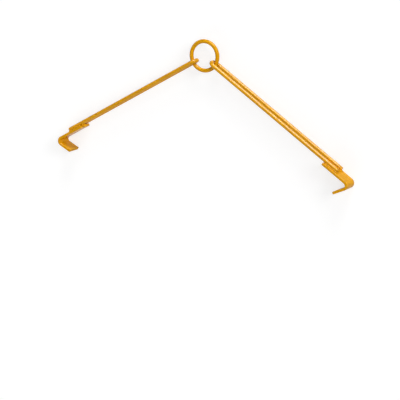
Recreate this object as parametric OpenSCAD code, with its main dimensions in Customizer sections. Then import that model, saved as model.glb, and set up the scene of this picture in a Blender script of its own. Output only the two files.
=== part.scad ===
// Two-arm lifter: a round-bar ring carries two hairpins of round rod, and each carries a bent flat-bar hook.
// It lies on its side as it does when put down. X runs across the spread of the arms and +Y points to the
// crown of the ring, which is up in use. +Z is square to the ring's plane. The origin is the ring's centre.
// Each arm is drawn lying along +X and then turned to its place. Lengths are in millimetres.

/* [Master ring] */
// Clear inside diameter of the ring
ring_id = 75; // [60:1:110]
// Diameter of the round bar that the ring is bent from
ring_bar_d = 12; // [10:0.5:18]
// Arc of the butt weld that closes the ring, ground flush with the bar
ring_weld_angle = 6; // [3:0.5:12]
// Place of the butt weld, measured round the ring from +X
ring_weld_at = 62; // [55:1:85]

/* [Arms] */
// Diameter of the round rod of each hairpin
rod_d = 12; // [10:0.5:16]
// Room between the ring's bar and the rod, to either side
side_play = 2; // [0.5:0.25:3]
// Gap left where the bend of the rod hangs on the inside of the ring
seat_play = 0.3; // [0.2:0.05:1]
// Distance from the ring's centre to the cut ends of the rod
rod_reach = 535; // [420:5:700]
// Angle of each arm below the X axis in the pose that is drawn
arm_drop = 31.5; // [15:0.5:60]

/* [Hooks] */
// Thickness of the flat bar
bar_t = 8; // [5:0.5:12]
// Flat bar that shows beside each leg of the rod
bar_margin = 5; // [3:0.5:12]
// Rolled rounding of the flat bar's long edges
bar_edge_r = 1.5; // [0.5:0.25:2.25]
// Length over which the rod lies on the flat bar
lap = 48; // [30:1:90]
// Straight flat bar from the ends of the rod to the bend
neck = 38; // [25:1:80]
// Inside radius of the bend
bend_r = 7.5; // [2:0.5:20]
// Turn of the bend
bend_angle = 123; // [90:1:145]
// Straight tongue after the bend
tongue_length = 38; // [20:1:80]
// Dressing of the tongue's faces inside the flat bar's own
tongue_dress = 0.1; // [0.05:0.05:0.5]

/* [Welds] */
// Reach of a weld from the middle of the rod along the flat bar
weld_leg = 6.5; // [5.5:0.25:8]
// Height of a weld run up the side of the rod
weld_h = 3.5; // [2:0.25:5]
// Unfused root under the rod, where the gap is too fine for the weld
weld_root = 2; // [1:0.25:3]
// Start of a weld run from the upper end of the flat bar
weld_start = 5; // [2:0.5:15]

/* [Hidden] */
$fn = 96;
PAINT = [0.93, 0.60, 0.09];

// Middle radius of the ring's bar
ring_r = (ring_id + ring_bar_d) / 2;
// Clear gap and middle distance between the two legs of a hairpin
leg_gap = ring_bar_d + 2 * side_play;
leg_pitch = leg_gap + rod_d;
// Centre of the hairpin's bend, which is half round on the clear gap
hairpin_x = ring_id / 2 - seat_play + leg_gap / 2;
// Width of the flat bar across both legs
bar_w = leg_pitch + rod_d + 2 * bar_margin;
// The flat bar's outer face touches the rods, and its middle and inner faces lie under it
bar_y = -rod_d / 2 - bar_t / 2;
inner_y = -rod_d / 2 - bar_t;
// Upper end of the flat bar, and the centre of its bend
hook_top_x = rod_reach - lap;
bend_x = rod_reach + neck;
bend_y = inner_y - bend_r;
// Direction from the bend's centre to where the tongue starts, and the tongue's root inside the bend
bend_end = 90 - bend_angle;
tongue_root = 0.5;

// Section of the rolled flat bar, thickness along x and width along y, centred and drawn in by a dressing
module bar_section(dressing = 0) {
    t = bar_t - 2 * dressing;
    w = bar_w - 2 * dressing;
    square([t - 2 * bar_edge_r, w], center = true);
    square([t, w - 2 * bar_edge_r], center = true);
    for (sx = [-1, 1], sy = [-1, 1])
        translate([sx * (t / 2 - bar_edge_r), sy * (w / 2 - bar_edge_r)]) circle(r = bar_edge_r);
}

// Sweeps a section along +X, its x to Y and its y to Z
module along_x(from, length) {
    translate([from, 0, 0]) rotate([90, 0, 90]) linear_extrude(height = length) children();
}

// One rod bent into a hairpin: two straight legs and a half turn round the ring's bar
module hairpin() {
    for (s = [-1, 1])
        along_x(hairpin_x, rod_reach - hairpin_x) translate([0, s * leg_pitch / 2]) circle(d = rod_d);
    translate([hairpin_x, 0, 0]) rotate([90, 0, 0]) rotate([0, 0, 90])
        rotate_extrude(angle = 180) translate([leg_pitch / 2, 0]) circle(d = rod_d);
}

// One flat bar: straight shank, bend and a straight tongue, which is dressed and runs out of the bend
module flat_hook() {
    along_x(hook_top_x, bend_x - hook_top_x) translate([bar_y, 0]) bar_section();
    translate([bend_x, bend_y, 0]) {
        rotate_extrude(angle = bend_angle, start = bend_end)
            translate([bend_r + bar_t / 2, 0]) bar_section();
        rotate([0, 0, bend_end]) translate([bend_r + bar_t / 2, tongue_root, 0]) rotate([90, 0, 0])
            linear_extrude(height = tongue_length + tongue_root) bar_section(tongue_dress);
    }
}

// Section of the weld in the groove between a rod, centred here, and the flat bar, on one side of the rod
module groove_section() {
    difference() {
        polygon([[-rod_d / 2, weld_root], [-rod_d / 2, weld_leg],
                 [weld_h - rod_d / 2, rod_d / 2 - weld_h / 4], [weld_h - rod_d / 2, weld_root]]);
        circle(d = rod_d);
    }
}

// One weld run: along both sides of a leg and round its cut end
module leg_weld(side) {
    start = hook_top_x + weld_start;
    translate([0, 0, side * leg_pitch / 2]) {
        for (s = [0, 1])
            mirror([0, 0, s]) along_x(start, rod_reach - start) groove_section();
        translate([rod_reach, -rod_d / 2, 0]) rotate([-90, 0, 0]) rotate([0, 0, -90])
            rotate_extrude(angle = 180)
                polygon([[0, 0], [weld_leg, 0], [weld_leg / 2, weld_h], [0, weld_h + weld_root]]);
    }
}

// Turns an arm that lies along +X to its place on the right or the left
module right_arm() {
    rotate([0, 0, -arm_drop]) children();
}

module left_arm() {
    mirror([1, 0, 0]) right_arm() children();
}

module master_ring() {
    color(PAINT) rotate([0, 0, ring_weld_at + ring_weld_angle / 2])
        rotate_extrude(angle = 360 - ring_weld_angle) translate([ring_r, 0]) circle(d = ring_bar_d);
}

module ring_weld() {
    color(PAINT) rotate([0, 0, ring_weld_at - ring_weld_angle / 2])
        rotate_extrude(angle = ring_weld_angle) translate([ring_r, 0]) circle(d = ring_bar_d);
}

module left_rod() {
    color(PAINT) left_arm() hairpin();
}

module right_rod() {
    color(PAINT) right_arm() hairpin();
}

module left_hook() {
    color(PAINT) left_arm() flat_hook();
}

module right_hook() {
    color(PAINT) right_arm() flat_hook();
}

module left_front_weld() {
    color(PAINT) left_arm() leg_weld(1);
}

module left_rear_weld() {
    color(PAINT) left_arm() leg_weld(-1);
}

module right_front_weld() {
    color(PAINT) right_arm() leg_weld(1);
}

module right_rear_weld() {
    color(PAINT) right_arm() leg_weld(-1);
}

master_ring();
ring_weld();
left_rod();
right_rod();
left_hook();
right_hook();
left_front_weld();
left_rear_weld();
right_front_weld();
right_rear_weld();
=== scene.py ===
# %% [markdown]
# The lifter is a shop-made steel part. A round-bar ring carries two arms, each arm is one rod bent
# into a hairpin, and a bent flat-bar hook is welded to the two ends of each rod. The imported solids
# come in first as a fixed frame. They are in metres and already in place, so every piece below is
# made where its solid is and then stands in for it. Small lengths are written in millimetres.

# %% Open the frame
from math import cos, degrees, pi, radians, sin

import bmesh
import bpy
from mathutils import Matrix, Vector


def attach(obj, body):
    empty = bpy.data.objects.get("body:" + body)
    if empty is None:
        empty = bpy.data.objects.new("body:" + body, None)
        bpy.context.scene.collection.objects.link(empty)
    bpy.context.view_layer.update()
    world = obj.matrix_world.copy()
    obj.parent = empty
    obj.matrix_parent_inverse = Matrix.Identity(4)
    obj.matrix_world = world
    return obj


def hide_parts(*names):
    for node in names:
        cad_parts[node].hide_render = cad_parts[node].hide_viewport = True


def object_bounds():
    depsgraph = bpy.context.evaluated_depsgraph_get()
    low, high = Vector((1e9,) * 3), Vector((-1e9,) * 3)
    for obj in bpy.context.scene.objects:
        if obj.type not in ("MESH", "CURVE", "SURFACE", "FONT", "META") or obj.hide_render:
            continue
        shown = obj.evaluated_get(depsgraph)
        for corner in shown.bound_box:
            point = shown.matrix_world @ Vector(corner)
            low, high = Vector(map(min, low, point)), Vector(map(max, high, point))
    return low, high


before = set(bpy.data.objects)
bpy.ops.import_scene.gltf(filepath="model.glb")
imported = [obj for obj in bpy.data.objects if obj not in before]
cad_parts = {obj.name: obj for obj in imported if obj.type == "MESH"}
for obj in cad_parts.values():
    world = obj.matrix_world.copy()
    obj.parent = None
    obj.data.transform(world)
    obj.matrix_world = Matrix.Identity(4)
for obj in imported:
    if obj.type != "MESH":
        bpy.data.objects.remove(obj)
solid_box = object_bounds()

MM = 0.001
scene = bpy.context.scene
scene.view_settings.view_transform = "Standard"
print("solids:", ", ".join(sorted(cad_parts)))

# %% [markdown]
# The camera stands far off with a long lens, as for a catalogue picture, so lines stay nearly
# parallel. It could be aimed with a constraint, but three plain angles say the same and keep the
# slight roll of the picture.

# %% Camera
CAMERA_PLACE = (2.6806, 0.9304, 4.8783)
CAMERA_TURN = (radians(-12.651), radians(29.249), radians(2.370))
SENSOR, LENS, FAR_CLIP = 36, 172.12, 100

bpy.ops.object.select_all(action="DESELECT")
bpy.ops.object.camera_add(location=CAMERA_PLACE, rotation=CAMERA_TURN)
camera = bpy.context.object
camera.name = "camera"
camera.data.sensor_width = SENSOR
camera.data.lens = LENS
camera.data.clip_end = FAR_CLIP
scene.camera = camera
print("camera at", [round(v, 3) for v in camera.location], "with a lens of", LENS, "mm")

# %% [markdown]
# Nodes are needed for the room, the floor and the paint. They could be placed one by one in the
# editor. In a script, a helper that adds a node and fills its inputs, each with a value or with
# another node's output, lets a chain of nodes read from top to bottom.


# %% Helpers for nodes
def add_node(tree, kind, inputs=None, **settings):
    made = tree.nodes.new(kind)
    for name, value in settings.items():
        setattr(made, name, value)
    for name, value in (inputs or {}).items():
        if isinstance(value, bpy.types.NodeSocket):
            tree.links.new(value, made.inputs[name])
        else:
            made.inputs[name].default_value = value
    return made


def maths(tree, operation, first, second=0.0):
    made = add_node(tree, "ShaderNodeMath", {0: first, 1: second}, operation=operation)
    return made.outputs[0]


# %% [markdown]
# The room is plain white. It could be built from walls, but a world colour gives the same light
# with nothing to build. The camera and the gloss of the paint see it at full white, while the light
# that it gives to dull surfaces is lower, because the lamps below add the rest. Light Path tells
# these rays apart.

# %% Room
ROOM_LIGHT = 0.25


def seen_rays(tree):
    ray = add_node(tree, "ShaderNodeLightPath").outputs
    seen = maths(tree, "MAXIMUM", ray["Is Camera Ray"], ray["Is Glossy Ray"])
    return maths(tree, "MAXIMUM", seen, ray["Is Transmission Ray"])


room = bpy.data.worlds.new("white_room")
scene.world = room
room.use_nodes = True
room.node_tree.nodes.clear()
strength = add_node(room.node_tree, "ShaderNodeMapRange",
                    {"Value": seen_rays(room.node_tree), "To Min": ROOM_LIGHT, "To Max": 1.0})
sky = add_node(room.node_tree, "ShaderNodeBackground",
               {"Color": (1, 1, 1, 1), "Strength": strength.outputs["Result"]})
add_node(room.node_tree, "ShaderNodeOutputWorld", {"Surface": sky.outputs[0]})
print("room light", ROOM_LIGHT)

# %% [markdown]
# Sun lamps light the part. Area lamps would also do, but a sun gives the same light all over the
# floor, and its angle sets how soft the shadow is. The key light comes from the right and looks into
# the jaw of the left hook, and the top light comes from the crown side. A weak front light and a
# wide fill from the hook side keep the shade open. The strip light stands for a long soft box: only
# gloss sees it, so it draws highlights on the rods and adds nothing to the light on the paint. Each
# row gives the way towards the lamp, its power and its angle in degrees.

# %% Lamps
LAMPS = {
    "top_light": ((0.22, 0.94, 0.25), 1.6, 26),
    "key_light": ((0.80, 0.38, 0.45), 1.55, 26),
    "front_light": ((0.20, -0.10, 0.97), 0.25, 60),
    "low_fill": ((-0.30, -0.90, 0.30), 1.2, 60),
    "strip_light": ((0.22, 0.94, 0.25), 12.5, 32),
}
LAMP_DISTANCE = 3

for name, (towards, power, spread) in LAMPS.items():
    bpy.ops.object.select_all(action="DESELECT")
    bpy.ops.object.light_add(type="SUN", location=Vector(towards) * LAMP_DISTANCE)
    lamp = bpy.context.object
    lamp.name = name
    lamp.rotation_euler = Vector(towards).to_track_quat("Z", "Y").to_euler()
    lamp.data.energy = power
    lamp.data.angle = radians(spread)
    lamp.visible_diffuse = name != "strip_light"
    print(name, "power", power, "spread", spread)

# %% [markdown]
# The floor carries the side edges of the hooks when the part is put down. The bends of the hooks are
# squeezed a little proud of those edges, so the floor lies just under them. A curved backdrop would
# also do, but one pale plane meets the white room without a line. From below it is see-through, so
# that the underside can be looked at too.

# %% Floor
FLOOR_DROP = 0.4 * MM
FLOOR_SIZE, FLOOR_GREY, FLOOR_GLOW = 30, 0.40, 0.70

floor_z = solid_box[0].z - FLOOR_DROP
bpy.ops.object.select_all(action="DESELECT")
bpy.ops.mesh.primitive_plane_add(size=FLOOR_SIZE, location=(0, 0, floor_z))
floor = bpy.context.object
floor.name = "floor"
paper = bpy.data.materials.new("pale_floor")
paper.use_nodes = True
paper.node_tree.nodes.clear()
glow = maths(paper.node_tree, "MULTIPLY", seen_rays(paper.node_tree), FLOOR_GLOW)
dull = add_node(paper.node_tree, "ShaderNodeBsdfPrincipled",
                {"Base Color": (FLOOR_GREY, FLOOR_GREY, FLOOR_GREY, 1), "Roughness": 1.0,
                 "Specular IOR Level": 0.0, "Emission Color": (1, 1, 1, 1),
                 "Emission Strength": glow})
clear = add_node(paper.node_tree, "ShaderNodeBsdfTransparent")
side = add_node(paper.node_tree, "ShaderNodeNewGeometry")
both = add_node(paper.node_tree, "ShaderNodeMixShader",
                {0: side.outputs["Backfacing"], 1: dull.outputs[0], 2: clear.outputs[0]})
add_node(paper.node_tree, "ShaderNodeOutputMaterial", {"Surface": both.outputs[0]})
floor.data.materials.append(paper)
print("floor at", round(floor_z, 4))

# %% [markdown]
# Every piece wears the same sprayed enamel. Its effects could be copied into each material, but a
# node group is built once and changed in one place. Each group puts out only a colour, a mask or a
# height, and the shader itself stays in each material. Most of a noise lies between two levels, so
# several effects stretch that part of it to their full range. The Mix node has its own sockets for
# each kind of data, so they are found by number.

# %% Helpers for node groups
NOISE_LOW, NOISE_HIGH = 0.3, 0.7


def start_group(name, takes, gives):
    group = bpy.data.node_groups.new(name, "ShaderNodeTree")
    for label, kind, value in takes:
        socket = group.interface.new_socket(label, in_out="INPUT", socket_type="NodeSocket" + kind)
        socket.default_value = value
    for label, kind in gives:
        group.interface.new_socket(label, in_out="OUTPUT", socket_type="NodeSocket" + kind)
    return group, add_node(group, "NodeGroupInput").outputs, add_node(group, "NodeGroupOutput")


def noise(tree, place, scale, detail=2.0, roughness=0.5):
    made = add_node(tree, "ShaderNodeTexNoise",
                    {"Vector": place, "Scale": scale, "Detail": detail, "Roughness": roughness})
    return made.outputs["Fac"]


def stretch(tree, value, low, high, to_low=0.0, to_high=1.0):
    made = add_node(tree, "ShaderNodeMapRange", {"Value": value, "From Min": low, "From Max": high,
                                                 "To Min": to_low, "To Max": to_high})
    return made.outputs["Result"]


def mixed(tree, kind, share, first, second):
    into_first, into_second, result = {"FLOAT": (2, 3, 0), "RGBA": (6, 7, 2)}[kind]
    inputs = {0: share, into_first: first, into_second: second}
    return add_node(tree, "ShaderNodeMix", inputs, data_type=kind).outputs[result]


# %% [markdown]
# Sprayed paint is never one flat colour, which would look like plastic. The coat is a little thicker
# here and thinner there. That could be painted by hand, but a slow noise does it all over: it moves
# the colour between a deep and a light tone, and a fine one adds the speckle of the spray.

# %% Sprayed colour
PAINT_DEEP = (0.68, 0.306, 0.002, 1)
PAINT_LIGHT = (0.79, 0.375, 0.003, 1)
PATCH_SCALE, SPECKLE_SCALE, SPECKLE_SHARE = 24.0, 900.0, 0.2

sprayed_colour, take, give = start_group(
    "sprayed_colour",
    [("Deep", "Color", PAINT_DEEP), ("Light", "Color", PAINT_LIGHT)],
    [("Colour", "Color")])
place = add_node(sprayed_colour, "ShaderNodeTexCoord").outputs["Object"]
patches = noise(sprayed_colour, place, PATCH_SCALE, detail=3.0)
patches = stretch(sprayed_colour, patches, NOISE_LOW, NOISE_HIGH)
speckle = noise(sprayed_colour, place, SPECKLE_SCALE, detail=1.0)
tone = mixed(sprayed_colour, "FLOAT", SPECKLE_SHARE, patches, speckle)
tint = mixed(sprayed_colour, "RGBA", tone, take["Deep"], take["Light"])
sprayed_colour.links.new(tint, give.inputs["Colour"])
print("group", sprayed_colour.name)

# %% [markdown]
# Gloss enamel dries with a faint peel, like the skin of an orange. It is far too fine to model, so it
# is a height for a Bump node, with cells of a little over a millimetre and a slower sag under them.

# %% Orange peel
PEEL_CELL, SAG_SCALE, SAG_SHARE = 1.3 * MM, 0.22, 0.4

orange_peel, take, give = start_group(
    "orange_peel", [("Cell", "Float", PEEL_CELL)], [("Height", "Float")])
place = add_node(orange_peel, "ShaderNodeTexCoord").outputs["Object"]
cells = maths(orange_peel, "DIVIDE", 1.0, take["Cell"])
peel = noise(orange_peel, place, cells, detail=1.0)
sag = noise(orange_peel, place, maths(orange_peel, "MULTIPLY", cells, SAG_SCALE), detail=1.0)
height = mixed(orange_peel, "FLOAT", SAG_SHARE, peel, sag)
orange_peel.links.new(height, give.inputs["Height"])
print("group", orange_peel.name)

# %% [markdown]
# Paint goes first where steel rubs on steel. Such a place could be painted on by hand, but a ball
# round a centre, with an edge broken up by noise, needs no picture. A Shape below 1 lets the ball
# reach further along that axis. The place is folded over to the right, so that one centre serves
# both arms, but the noise isn't, so the two arms don't wear as mirror images.

# %% Rubbed place
RAGGED_SCALE, NOISE_MIDDLE, RUB_FULL, RUB_END = 420.0, 0.5, 0.82, 1.0

rubbed_place, take, give = start_group(
    "rubbed_place",
    [("Centre", "Vector", (0, 0, 0)), ("Shape", "Vector", (1, 1, 1)),
     ("Reach", "Float", 10 * MM), ("Ragged", "Float", 1.0)],
    [("Bare", "Float")])
place = add_node(rubbed_place, "ShaderNodeTexCoord").outputs["Object"]
axes = add_node(rubbed_place, "ShaderNodeSeparateXYZ", {0: place}).outputs
across = maths(rubbed_place, "ABSOLUTE", axes[0])
folded = add_node(rubbed_place, "ShaderNodeCombineXYZ", {0: across, 1: axes[1], 2: axes[2]})
apart = add_node(rubbed_place, "ShaderNodeVectorMath",
                 {0: folded.outputs[0], 1: take["Centre"]}, operation="SUBTRACT")
shaped = add_node(rubbed_place, "ShaderNodeVectorMath",
                  {0: apart.outputs[0], 1: take["Shape"]}, operation="MULTIPLY")
far = add_node(rubbed_place, "ShaderNodeVectorMath", {0: shaped.outputs[0]}, operation="LENGTH")
share = maths(rubbed_place, "DIVIDE", far.outputs["Value"], take["Reach"])
broken = noise(rubbed_place, place, RAGGED_SCALE, detail=4.0, roughness=0.65)
broken = maths(rubbed_place, "SUBTRACT", broken, NOISE_MIDDLE)
broken = maths(rubbed_place, "MULTIPLY", broken, take["Ragged"])
bare = stretch(rubbed_place, maths(rubbed_place, "ADD", share, broken), RUB_END, RUB_FULL)
rubbed_place.links.new(bare, give.inputs["Bare"])
print("group", rubbed_place.name)

# %% [markdown]
# Edges chip as the part is dropped and dragged. A shader can find edges by itself, but it finds them
# softly and everywhere. Here each hook carries an attribute that is 1 on its worked edges, and this
# group keeps only the spots where that edge and a noise are both high.

# %% Chipped edge
CHIP_SCALE, GRIT_SCALE, GRIT_SHARE = 160.0, 1400.0, 0.35
CHIP_START, CHIP_FULL = 0.72, 0.76

chipped_edge, take, give = start_group(
    "chipped_edge", [("Edge", "Float", 0.0), ("Amount", "Float", 0.0)], [("Bare", "Float")])
place = add_node(chipped_edge, "ShaderNodeTexCoord").outputs["Object"]
chips = noise(chipped_edge, place, CHIP_SCALE, detail=2.0)
grit = noise(chipped_edge, place, GRIT_SCALE, detail=3.0, roughness=0.6)
level = mixed(chipped_edge, "FLOAT", GRIT_SHARE, chips, grit)
level = maths(chipped_edge, "ADD", level, take["Amount"])
level = maths(chipped_edge, "MULTIPLY", level, take["Edge"])
chipped_edge.links.new(stretch(chipped_edge, level, CHIP_START, CHIP_FULL), give.inputs["Bare"])
print("group", chipped_edge.name)

# %% [markdown]
# Bare steel isn't smooth: it has fine marks from rubbing. They could be drawn as many thin lines, but
# stretching a noise along one direction turns its dots into short streaks at once.

# %% Rubbing marks
MARK_SCALE, MARK_STRETCH = 1800.0, (0.12, 1.0, 1.0)

rubbing_marks, take, give = start_group(
    "rubbing_marks", [("Turn", "Float", 0.0)], [("Marks", "Float")])
place = add_node(rubbing_marks, "ShaderNodeTexCoord").outputs["Object"]
along = add_node(rubbing_marks, "ShaderNodeVectorRotate",
                 {"Vector": place, "Angle": take["Turn"]}, rotation_type="Z_AXIS")
drawn = add_node(rubbing_marks, "ShaderNodeMapping",
                 {"Vector": along.outputs[0], "Scale": MARK_STRETCH})
marks = noise(rubbing_marks, drawn.outputs[0], MARK_SCALE, detail=2.0)
rubbing_marks.links.new(marks, give.inputs["Marks"])
print("group", rubbing_marks.name)

# %% [markdown]
# A mask says where the paint is gone: it is 0 on paint and 1 on bare steel. One group could hold
# every kind of wear, but a piece has only one kind, so its material takes just the group that it
# needs. A rubbed place is given its centre and reach, a chipped edge reads the hook's own attribute,
# and the welds keep all their paint.


# %% Masks for bare steel
def effect(tree, group, **inputs):
    return add_node(tree, "ShaderNodeGroup", inputs, node_tree=group).outputs


def bare_mask(tree, rub, edge_wear):
    if rub:
        return effect(tree, rubbed_place, **rub)["Bare"]
    if edge_wear:
        edges = add_node(tree, "ShaderNodeAttribute", attribute_name="edge").outputs["Fac"]
        return effect(tree, chipped_edge, Edge=edges, Amount=edge_wear)["Bare"]
    return None


# %% [markdown]
# The enamel material mixes two finishes by that mask: glossy paint where it is 0 and rubbed steel
# where it is 1. Two shaders could be mixed instead, but one shader with mixed inputs is easier to
# bake. Colour, metal and roughness all follow the mask, and the paint's thickness shows as a small
# step. The marks on the steel are turned by the angle at which the arms hang.

# %% Enamel
STEEL = (0.40, 0.385, 0.37, 1)
STEEL_SMOOTHEST, STEEL_ROUGHEST, MARK_SHARE = 0.28, 0.5, 0.1
PAINT_SMOOTHEST, PAINT_ROUGHEST, PEEL_SHARE = 0.25, 0.31, 0.15
PAINT_IOR, PAINT_THICK = 1.5, 0.06 * MM
ARM_DROP = radians(31.5)


def enamel(name, shine, rub=None, edge_wear=None):
    paint = bpy.data.materials.new(name)
    paint.use_nodes = True
    tree = paint.node_tree
    tree.nodes.clear()
    coat = add_node(tree, "ShaderNodeBsdfPrincipled",
                    {"IOR": PAINT_IOR, "Specular IOR Level": shine})
    colour = effect(tree, sprayed_colour, Deep=PAINT_DEEP, Light=PAINT_LIGHT)["Colour"]
    peel = effect(tree, orange_peel, Cell=PEEL_CELL)["Height"]
    rough = stretch(tree, peel, NOISE_LOW, NOISE_HIGH, PAINT_SMOOTHEST, PAINT_ROUGHEST)
    height = maths(tree, "MULTIPLY", peel, PEEL_SHARE)
    bare = bare_mask(tree, rub, edge_wear)
    if bare is not None:
        marks = effect(tree, rubbing_marks, Turn=ARM_DROP)["Marks"]
        steel_rough = stretch(tree, marks, NOISE_LOW, NOISE_HIGH, STEEL_SMOOTHEST, STEEL_ROUGHEST)
        steel_height = maths(tree, "MULTIPLY", marks, MARK_SHARE)
        paint_height = maths(tree, "ADD", height, 1.0)
        colour = mixed(tree, "RGBA", bare, colour, STEEL)
        rough = mixed(tree, "FLOAT", bare, rough, steel_rough)
        height = mixed(tree, "FLOAT", bare, paint_height, steel_height)
        tree.links.new(bare, coat.inputs["Metallic"])
    bump = add_node(tree, "ShaderNodeBump", {"Height": height, "Distance": PAINT_THICK})
    tree.links.new(colour, coat.inputs["Base Color"])
    tree.links.new(rough, coat.inputs["Roughness"])
    tree.links.new(bump.outputs[0], coat.inputs["Normal"])
    add_node(tree, "ShaderNodeOutputMaterial", {"Surface": coat.outputs[0]})
    print("material", name, "without wear" if bare is None else "with wear")
    return paint


# %% [markdown]
# Pieces are shaped in edit mode, where an operator acts on all that is selected. By hand one would
# click on points, edges or faces. A script picks them by their place: this helper selects each one
# whose middle passes a test. NEAR is how close to a loop a point has to be to count as part of it.

# %% A helper for picking
NEAR = 0.1 * MM


def pick(test, kind="VERT"):
    bpy.ops.mesh.select_mode(type=kind)
    bpy.ops.mesh.select_all(action="DESELECT")
    mesh = bmesh.from_edit_mesh(bpy.context.object.data)
    items = {"VERT": mesh.verts, "EDGE": mesh.edges, "FACE": mesh.faces}[kind]
    count = 0
    for item in items:
        if kind == "VERT":
            middle = item.co
        else:
            middle = sum((v.co for v in item.verts), Vector()) / len(item.verts)
        if test(middle):
            item.select_set(True)
            count += 1
    mesh.select_flush_mode()
    bmesh.update_edit_mesh(bpy.context.object.data)
    return count


# %% [markdown]
# Every piece takes the same few steps. It starts from a primitive, is drawn out by extruding, has its
# open rims closed and rounded, and ends with its doubles merged and its normals pointing outwards.
# The steps could be written out each time, but as helpers they are the same for all pieces.

# %% Helpers for shaping
SAME_PLACE = 0.01 * MM


def add_circle(sides, radius, place, turn):
    bpy.ops.object.select_all(action="DESELECT")
    bpy.ops.mesh.primitive_circle_add(vertices=sides, radius=radius, fill_type="NOTHING",
                                      location=place, rotation=turn)
    bpy.ops.object.transform_apply(location=True, rotation=True)


def begin(name):
    piece = bpy.context.object
    piece.name = name
    piece.data.name = name
    bpy.ops.object.mode_set(mode="EDIT")
    return piece


def draw_out(way, steps):
    for step in range(steps):
        bpy.ops.mesh.extrude_region_move(TRANSFORM_OT_translate={"value": [v / steps for v in way]})


def close_rim(test, rounding, segments=3):
    pick(test)
    bpy.ops.mesh.edge_face_add()
    bpy.ops.mesh.bevel(offset=rounding, segments=segments, affect="EDGES")


def end(sharp=40):
    bpy.ops.mesh.select_all(action="SELECT")
    bpy.ops.mesh.remove_doubles(threshold=SAME_PLACE)
    bpy.ops.mesh.normals_make_consistent(inside=False)
    bpy.ops.object.mode_set(mode="OBJECT")
    bpy.ops.object.shade_smooth_by_angle(angle=radians(sharp))
    piece = bpy.context.object
    print(piece.name, len(piece.data.vertices), "points", len(piece.data.polygons), "faces")


# %% [markdown]
# The ring is bent from round bar until its two ends meet, and the joint is welded shut. A circle
# could be spun round, but a torus is the quick way to a bent bar. It is turned by half a segment, so
# that two of its loops fall on the ends of the weld, and opened there, so that the ring keeps its two
# cut ends.

# %% Ring
RING_R, RING_BAR_R, RING_RIM = 43.5 * MM, 6 * MM, 0.3 * MM
RING_LOOPS, BAR_SIDES = 180, 48
WELD_AT, WELD_HALF, NEAR_TURN = 62, 3, 0.1


def turn_from_weld(point):
    weld_way = Vector((cos(radians(WELD_AT)), sin(radians(WELD_AT))))
    return degrees(Vector((point.x, point.y)).angle_signed(weld_way))


bpy.ops.object.select_all(action="DESELECT")
bpy.ops.mesh.primitive_torus_add(major_segments=RING_LOOPS, minor_segments=BAR_SIDES,
                                 major_radius=RING_R, minor_radius=RING_BAR_R,
                                 rotation=(0, 0, pi / RING_LOOPS))
bpy.ops.object.transform_apply(rotation=True)
ring = begin("ring_bar")
opened = pick(lambda p: abs(turn_from_weld(p)) < WELD_HALF, "FACE")
bpy.ops.mesh.delete(type="FACE")
for side in (-1, 1):
    close_rim(lambda p: abs(turn_from_weld(p) - side * WELD_HALF) < NEAR_TURN, RING_RIM, segments=2)
end()
print("ring opened by", opened, "faces at the weld")

# %% [markdown]
# The butt weld is ground nearly flush, but it still shows under the paint as a low crown with a few
# ripples. A torus has too few segments for that, so a circle is spun over the short arc. Each of its
# loops is then scaled about its own middle: the end loops sink into the bar, and the ones between
# them stand a little proud of it.

# %% Butt weld of the ring
LOOP_TURN, LOOPS_EACH_SIDE = 0.5, 8
CROWN, SUNK = 0.05, 0.03
RIPPLE_RISE, RIPPLES_EACH_SIDE, RIPPLE_REACH = 0.012, 2.25, 0.8


def on_ring(turn):
    return Vector((RING_R * cos(radians(turn)), RING_R * sin(radians(turn)), 0))


half_arc = LOOP_TURN * LOOPS_EACH_SIDE
start = WELD_AT + half_arc
add_circle(BAR_SIDES, RING_BAR_R, on_ring(start), (pi / 2, 0, radians(start)))
butt_weld = begin("ring_butt_weld")
bpy.ops.mesh.spin(steps=2 * LOOPS_EACH_SIDE, angle=radians(2 * half_arc),
                  center=(0, 0, 0), axis=(0, 0, 1))
for step in range(-LOOPS_EACH_SIDE, LOOPS_EACH_SIDE + 1):
    turn = step * LOOP_TURN
    across = step / LOOPS_EACH_SIDE
    swell = 1 + CROWN * (1 - across * across) ** 0.5
    if abs(across) < RIPPLE_REACH:
        swell += RIPPLE_RISE * cos(2 * pi * RIPPLES_EACH_SIDE * across)
    if abs(step) == LOOPS_EACH_SIDE:
        swell -= SUNK
    picked = pick(lambda p: abs(turn_from_weld(p) - turn) < NEAR_TURN)
    bpy.ops.transform.resize(value=(swell, swell, swell), center_override=on_ring(WELD_AT + turn))
    if abs(step) == LOOPS_EACH_SIDE:
        bpy.ops.mesh.edge_face_add()
end(sharp=60)
print("each loop of the butt weld has", picked, "points")

# %% [markdown]
# Each arm is one rod bent into a hairpin. A bevelled curve would also make it, but a spin keeps the
# bend a true arc. The rod is drawn lying along X and turned to its place at the end: a circle is
# extruded up one leg, spun half round the ring's bar and extruded down the other leg. The half turn
# leaves the bar some play at its sides and a little at its seat. The cut ends are closed and their
# rims rounded, as paint rounds every saw cut.

# %% Hairpin rod
ROD_R, ROD_REACH, ROD_RIM = 6 * MM, 535 * MM, 0.8 * MM
SIDE_PLAY, SEAT_PLAY = 2 * MM, 0.3 * MM
LEG_Z = RING_BAR_R + SIDE_PLAY + ROD_R
HAIRPIN_X = RING_R + SIDE_PLAY - SEAT_PLAY
LEG_STEPS, TURN_STEPS = 24, 40


def place_on_arm(piece):
    bpy.ops.object.select_all(action="DESELECT")
    piece.select_set(True)
    bpy.context.view_layer.objects.active = piece
    piece.rotation_euler.z -= ARM_DROP
    bpy.ops.object.transform_apply(location=True, rotation=True, scale=True)


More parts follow.
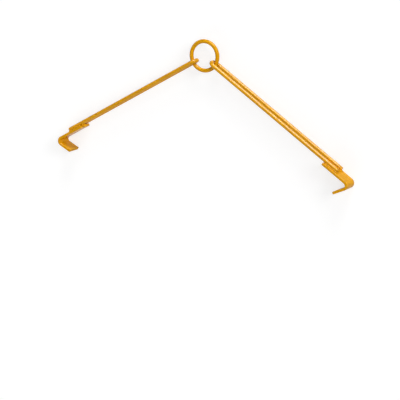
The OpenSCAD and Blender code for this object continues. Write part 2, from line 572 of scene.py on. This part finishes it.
add_circle(BAR_SIDES, ROD_R, (ROD_REACH, 0, LEG_Z), (0, pi / 2, 0))
right_rod = begin("right_hairpin")
draw_out((HAIRPIN_X - ROD_REACH, 0, 0), LEG_STEPS)
bpy.ops.mesh.spin(steps=TURN_STEPS, angle=pi, center=(HAIRPIN_X, 0, 0), axis=(0, 1, 0))
draw_out((ROD_REACH - HAIRPIN_X, 0, 0), LEG_STEPS)
for side in (-1, 1):
    close_rim(lambda p: p.x > ROD_REACH - NEAR and p.z * side > 0, ROD_RIM)
end()
place_on_arm(right_rod)

# %% [markdown]
# Each hook is one flat bar. A box could be bent with a modifier, but a section that is swept keeps
# its size all the way. The section is a flat rectangle with rolled edges, a little wider than the two
# legs that are welded to it. Its long sides are subdivided, so that the broad faces have points of
# their own and the wear on the edges stays there.

# %% Section of the flat bar
BAR_T, BAR_EDGE, BAR_MARGIN = 8 * MM, 1.5 * MM, 5 * MM
BAR_W = 2 * (LEG_Z + ROD_R + BAR_MARGIN)
BAR_Y = -ROD_R - BAR_T / 2
LAP = 48 * MM
HOOK_TOP = ROD_REACH - LAP
EDGE_STEPS, FACE_CUTS = 5, 15

bpy.ops.object.select_all(action="DESELECT")
bpy.ops.mesh.primitive_plane_add(size=1, location=(HOOK_TOP, BAR_Y, 0), rotation=(0, pi / 2, 0))
bpy.context.object.scale = (BAR_W, BAR_T, 1)
bpy.ops.object.transform_apply(location=True, rotation=True, scale=True)
right_hook = begin("right_flat_hook")
bpy.ops.mesh.bevel(offset=BAR_EDGE, segments=EDGE_STEPS, affect="VERTICES")
bpy.ops.mesh.delete(type="ONLY_FACE")
long_sides = pick(lambda p: abs(p.z) < NEAR, "EDGE")
bpy.ops.mesh.subdivide(number_cuts=FACE_CUTS)
bpy.ops.mesh.select_mode(type="VERT")
bpy.ops.mesh.select_all(action="SELECT")
print("section", round(BAR_W / MM, 1), "by", round(BAR_T / MM, 1), "mm,", long_sides, "long sides")

# %% [markdown]
# The section is now swept along the way that the bar takes: extruded down the shank, spun round the
# bend and extruded again for the tongue. A curve with the section as its bevel would do this too, but
# as with the rod, a spin keeps the bend a true arc. Both ends are closed, and their rims are rounded
# like the rod's.

# %% Flat hook
BEND_R, BEND_TURN = 7.5 * MM, radians(123)
NECK, TONGUE = 38 * MM, 38 * MM
BEND_MIDDLE = Vector((ROD_REACH + NECK, -ROD_R - BAR_T - BEND_R, 0))
SHANK_STEPS, BEND_STEPS, TONGUE_STEPS = 30, 40, 14
TOP_RIM, TIP_RIM = 0.7 * MM, 0.9 * MM

draw_out((BEND_MIDDLE.x - HOOK_TOP, 0, 0), SHANK_STEPS)
bpy.ops.mesh.spin(steps=BEND_STEPS, angle=BEND_TURN, center=BEND_MIDDLE, axis=(0, 0, 1))
bend_end = pi / 2 - BEND_TURN
tongue_way = Vector((sin(bend_end), -cos(bend_end), 0))
draw_out(TONGUE * tongue_way, TONGUE_STEPS)
tongue_start = BEND_MIDDLE + (BEND_R + BAR_T / 2) * Vector((cos(bend_end), sin(bend_end), 0))
tip = tongue_start + TONGUE * tongue_way
close_rim(lambda p: p.x < HOOK_TOP + NEAR, TOP_RIM)
close_rim(lambda p: (p - tip).dot(tongue_way) > -NEAR and p.y < BEND_MIDDLE.y, TIP_RIM)
print("hook tip at", [round(v / MM, 1) for v in tip], "mm along the arm")

# %% [markdown]
# Cold bending squeezes the inside of the bend out sideways and draws the outside in. Sculpting would
# give it by eye. Here each loop of the bend is picked by its angle, and its inner points are spread
# and its outer points drawn in, most at the middle loop.

# %% Squeeze the bend
SQUEEZE = 0.014

for step in range(1, BEND_STEPS):
    turn = pi / 2 - BEND_TURN * step / BEND_STEPS
    outward = Vector((cos(turn), sin(turn), 0))
    across = Vector((-sin(turn), cos(turn), 0))
    share = sin(pi * step / BEND_STEPS) * SQUEEZE
    for inner in (True, False):
        pick(lambda p: abs((p - BEND_MIDDLE).dot(across)) < NEAR
             and (p - BEND_MIDDLE).dot(outward) > BEND_R / 2
             and ((p - BEND_MIDDLE).dot(outward) < BEND_R + BAR_T / 2) == inner)
        wide = 1 + share if inner else 1 - share
        bpy.ops.transform.resize(value=(1, 1, wide), center_override=BEND_MIDDLE)
end()
width = 2 * max(v.co.z for v in right_hook.data.vertices)
print("widest place of the hook", round(width / MM, 2), "mm")

# %% [markdown]
# Wear follows edges, so the hook gets an attribute that is 1 on its rolled sides and cut ends and 0
# on the broad faces. It could be painted on by hand. It is set by place instead, while the hook still
# lies along X, where the test is simple, and the material reads it by name.

# %% Mark the hook's edges
SIDE_BAND, END_BAND = 0.5 * MM, 1 * MM

edge = right_hook.data.attributes.new("edge", "FLOAT", "POINT")
marked = 0
for point, value in zip(right_hook.data.vertices, edge.data):
    at_side = abs(point.co.z) > BAR_W / 2 - BAR_EDGE - SIDE_BAND
    at_top = point.co.x < HOOK_TOP + END_BAND
    at_tip = (point.co - tip).dot(tongue_way) > -END_BAND and point.co.y < BEND_MIDDLE.y
    value.value = 1.0 if at_side or at_top or at_tip else 0.0
    marked += value.value == 1.0
print(marked, "of", len(edge.data), "points are edge points")
place_on_arm(right_hook)

# %% [markdown]
# The welds show the stacked ripples of a hand-run bead. A bump could fake them, but they catch the
# light on their outline too, so they are modelled. One ripple is made from a short open tube, narrow
# at both ends and full in the middle, and an array repeats it into a straight bead along X.

# %% One weld run
BEAD_R, BEAD_SIDES, VALLEY = 2.4 * MM, 20, 0.91
RUN_START, RUN_END, RUN_SIDE = HOOK_TOP + 5 * MM, ROD_REACH - 2 * MM, 4.6 * MM
RUN_LENGTH = 2 * (RUN_END - RUN_START) + pi * RUN_SIDE
RIPPLES, RIPPLE_STEPS = 46, 5
PITCH = RUN_LENGTH / RIPPLES
LOOP_GAP = PITCH / RIPPLE_STEPS

add_circle(BEAD_SIDES, BEAD_R, (0, 0, 0), (0, pi / 2, 0))
bead = begin("right_front_bead")
draw_out((PITCH, 0, 0), RIPPLE_STEPS)
for step in range(RIPPLE_STEPS + 1):
    at = step * LOOP_GAP
    pick(lambda p: abs(p.x - at) < NEAR)
    swell = VALLEY + (1 - VALLEY) * sin(pi * step / RIPPLE_STEPS)
    bpy.ops.transform.resize(value=(1, swell, swell), center_override=(at, 0, 0))
bpy.ops.object.mode_set(mode="OBJECT")
stack = bead.modifiers.new("stack", "ARRAY")
stack.count = RIPPLES
stack.use_relative_offset = False
stack.use_constant_offset = True
stack.constant_offset_displace = (PITCH, 0, 0)
stack.use_merge_vertices = True
stack.merge_threshold = SAME_PLACE
bpy.ops.object.modifier_apply(modifier="stack")
print("bead of", RIPPLES, "ripples,", round(RUN_LENGTH / MM, 1), "mm long")

# %% [markdown]
# A weld starts and stops softly, so both ends of the bead are first drawn in and closed. Then its
# loops are leaned, the top most of all, because each ripple freezes as a crescent behind the arc. A
# shear would lean them evenly. Moving the upper points a little further at each of four levels bends
# them.

# %% Soften and lean the bead
SOFT_LOOPS, SOFT_START = 6, 0.4
LEAN, LEAN_LEVELS = 0.14, (-0.3, 0.1, 0.45, 0.75)

bpy.ops.object.mode_set(mode="EDIT")
for step in range(SOFT_LOOPS):
    size = SOFT_START + (1 - SOFT_START) * sin(pi / 2 * step / SOFT_LOOPS)
    for at in (step * LOOP_GAP, RUN_LENGTH - step * LOOP_GAP):
        pick(lambda p: abs(p.x - at) < NEAR)
        bpy.ops.transform.resize(value=(1, size, size), center_override=(at, 0, 0))
        if step == 0:
            bpy.ops.mesh.edge_face_add()
for level in LEAN_LEVELS:
    leaned = pick(lambda p: p.z > level * BEAD_R)
    bpy.ops.transform.translate(value=(LEAN * PITCH, 0, 0))
bpy.ops.object.mode_set(mode="OBJECT")
print(leaned, "points lean the most")

# %% [markdown]
# A flat curve now leads the bead along one side of a rod, round its cut end and back. The bead could
# be spun and extruded along the same way, but a Curve modifier bends all its ripples at once. It is
# then turned up and set into the groove between the rod and the flat bar.

# %% Lead the weld run round the rod
BEAD_UP, ARC_STEPS = 1.1 * MM, 24

corners = [(RUN_START, RUN_SIDE)]
for step in range(ARC_STEPS + 1):
    turn = pi * step / ARC_STEPS
    corners.append((RUN_END + RUN_SIDE * sin(turn), RUN_SIDE * cos(turn)))
corners.append((RUN_START, -RUN_SIDE))
route = bpy.data.curves.new("weld_route", "CURVE")
route.dimensions = "2D"
line = route.splines.new("POLY")
line.points.add(len(corners) - 1)
for point, (x, y) in zip(line.points, corners):
    point.co = (x, y, 0, 1)
guide = bpy.data.objects.new("weld_route", route)
scene.collection.objects.link(guide)
lead = bead.modifiers.new("lead", "CURVE")
lead.object = guide
bpy.ops.object.modifier_apply(modifier="lead")
bpy.data.objects.remove(guide)
bpy.ops.object.mode_set(mode="EDIT")
end(sharp=70)
bead.rotation_euler = (-pi / 2, 0, 0)
bead.location = (0, BEAD_UP - ROD_R, LEG_Z)
bpy.ops.object.transform_apply(location=True, rotation=True)
reach = [v.co.x / MM for v in bead.data.vertices]
print("weld run from", round(min(reach), 1), "to", round(max(reach), 1), "mm along the rod")

# %% [markdown]
# What repeats is modelled once and copied. The second leg's weld is a copy moved across, and the left
# arm is the right one mirrored. A Mirror modifier would join both halves into one object, so copies
# are scaled by minus one instead. That turns a mesh inside out, so its normals are recalculated.


# %% Copies
def copy_of(piece, name):
    bpy.ops.object.select_all(action="DESELECT")
    piece.select_set(True)
    bpy.context.view_layer.objects.active = piece
    bpy.ops.object.duplicate(linked=False)
    copy = bpy.context.object
    copy.name = name
    copy.data.name = name
    return copy


def mirrored(piece, name):
    copy = copy_of(piece, name)
    copy.scale.x = -1
    bpy.ops.object.transform_apply(scale=True)
    bpy.ops.object.mode_set(mode="EDIT")
    bpy.ops.mesh.select_all(action="SELECT")
    bpy.ops.mesh.normals_make_consistent(inside=False)
    bpy.ops.object.mode_set(mode="OBJECT")
    return copy


rear_bead = copy_of(bead, "right_rear_bead")
rear_bead.location.z = -2 * LEG_Z
place_on_arm(rear_bead)
place_on_arm(bead)
left_rod = mirrored(right_rod, "left_hairpin")
left_hook = mirrored(right_hook, "left_flat_hook")
left_bead = mirrored(bead, "left_front_bead")
left_rear_bead = mirrored(rear_bead, "left_rear_bead")
print("copies made:", left_rod.name, left_hook.name, left_bead.name, left_rear_bead.name)

# %% [markdown]
# Now the enamel is mixed. One material could dress all pieces, but they wear in different places: the
# ring and the hairpins are rubbed bare where they hang on each other, and the hooks are chipped along
# their edges. The rods shine a little more than the rest, because drawn rod is smooth under its
# paint, while the hot-rolled flat bar and the ring are not.

# %% Enamel for each kind of piece
ROLLED_SHINE, DRAWN_SHINE = 0.07, 0.13
RAGGED, EDGE_WEAR = 1.6, 0.08
SEAT_R = RING_R - RING_BAR_R

seat = (SEAT_R * cos(ARM_DROP), -SEAT_R * sin(ARM_DROP), 0)
ring_rub = {"Centre": seat, "Shape": (1, 1, 0.8), "Reach": 7 * MM, "Ragged": RAGGED}
rod_rub = {"Centre": seat, "Shape": (1, 1, 0.9), "Reach": 5 * MM, "Ragged": RAGGED}
ring_paint = enamel("ring_enamel", ROLLED_SHINE, rub=ring_rub)
rod_paint = enamel("hairpin_enamel", DRAWN_SHINE, rub=rod_rub)
hook_paint = enamel("hook_enamel", ROLLED_SHINE, edge_wear=EDGE_WEAR)
weld_paint = enamel("weld_enamel", ROLLED_SHINE)

# %% [markdown]
# Each piece gets its paint, rides on the body that carries it and stands in for one solid. The calls
# could be written out piece by piece, but a table keeps them in one place, where they are easy to
# check.

# %% Dress the part
dressed = [
    (ring, ring_paint, "ring", "master_ring"),
    (butt_weld, weld_paint, "ring", "ring_weld"),
    (right_rod, rod_paint, "right_arm", "right_rod"),
    (left_rod, rod_paint, "left_arm", "left_rod"),
    (right_hook, hook_paint, "right_arm", "right_hook"),
    (left_hook, hook_paint, "left_arm", "left_hook"),
    (bead, weld_paint, "right_arm", "right_front_weld"),
    (rear_bead, weld_paint, "right_arm", "right_rear_weld"),
    (left_bead, weld_paint, "left_arm", "left_front_weld"),
    (left_rear_bead, weld_paint, "left_arm", "left_rear_weld"),
]
for piece, paint, body, node in dressed:
    piece.data.materials.clear()
    piece.data.materials.append(paint)
    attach(piece, body)
    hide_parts(node)
    print(piece.name, "rides on", body)
